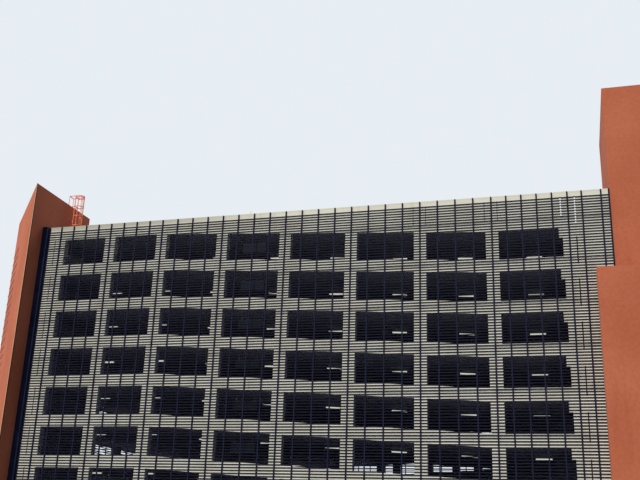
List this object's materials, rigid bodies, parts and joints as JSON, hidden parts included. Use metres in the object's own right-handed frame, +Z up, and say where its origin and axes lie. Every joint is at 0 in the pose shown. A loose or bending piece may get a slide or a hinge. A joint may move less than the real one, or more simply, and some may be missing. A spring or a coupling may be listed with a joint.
{
  "type": "multi storey car park, 1:2 scale model",
  "caption": "Multi storey car park: sloping decks in a concrete frame behind a dark metal bar screen, with red stair towers at both ends. 1:2 scale model.",
  "frame": {"origin": "middle of the footprint at ground level", "axes": "+X to the right along the front, +Y into the depth away from the viewer, +Z up"},
  "size_m": [30.259, 19.279, 17.475],
  "materials": {
    "concrete": "cast concrete, matt",
    "metal": "dark blue-grey paint, satin",
    "red_render": "brick-red render, matt",
    "roofing": "mineral roof felt, matt",
    "ladder_paint": "orange-red paint, satin",
    "lamp": "opal diffuser",
    "white_paint": "white paint, satin"
  },
  "bodies": {
    "root": {"access_ladder": "ladder_paint", "back_panels": "concrete", "back_piers": "concrete", "back_screen": "metal", "base_walls": "concrete", "ceiling_lights": "lamp", "corner_walls": "concrete", "deck_1": "concrete", "deck_2": "concrete", "deck_3": "concrete", "deck_4": "concrete", "deck_5": "concrete", "deck_6": "concrete", "deck_7": "concrete", "end_parapets": "concrete", "end_piers": "concrete", "end_wall_panels": "concrete", "front_panels": "concrete", "front_piers": "concrete", "front_screen": "metal", "ground_slab": "concrete", "joint_cover": "metal", "ladder_cage": "ladder_paint", "left_screen": "metal", "left_tower_walls": "red_render", "long_parapets": "concrete", "low_block_walls": "red_render", "middle_columns": "concrete", "raised_ground": "concrete", "ramps_0": "concrete", "ramps_1": "concrete", "ramps_2": "concrete", "ramps_3": "concrete", "ramps_4": "concrete", "ramps_5": "concrete", "ramps_6": "concrete", "ramps_7": "concrete", "right_screen": "metal", "right_tower_walls": "red_render", "roof_deck": "concrete", "roof_guards": "concrete", "roof_ramp": "concrete", "roof_vent": "white_paint", "tower_roofs": "roofing"}
  },
  "joints": []
}
